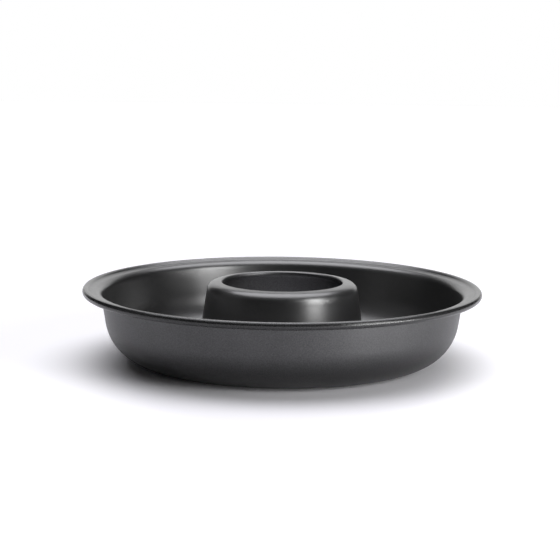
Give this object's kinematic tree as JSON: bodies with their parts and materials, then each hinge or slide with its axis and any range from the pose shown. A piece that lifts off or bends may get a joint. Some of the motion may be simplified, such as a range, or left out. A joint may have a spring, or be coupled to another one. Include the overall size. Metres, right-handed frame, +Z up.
{
  "type": "savarin mould",
  "caption": "Round ring-shaped cake mould of dark coated steel, with a curved outer wall, a flat flange with a wired rolled rim and a raised open centre tube.",
  "frame": {"origin": "centre of the base, on the surface that the mould stands on", "axes": "+Z up along the axis of the mould; X and Y lie in the base, and the mould is round about Z"},
  "size_m": [0.24, 0.24, 0.0482],
  "materials": {
    "pan_coating": "dark grey non-stick coating, satin and finely speckled outside, smoother and darker inside",
    "tube_coating": "dark grey non-stick coating, smooth and semi-gloss",
    "wire_steel": "plain drawn steel wire"
  },
  "bodies": {
    "root": {"pan": "pan_coating", "centre_tube": "tube_coating", "rim_wire": "wire_steel"}
  },
  "joints": []
}
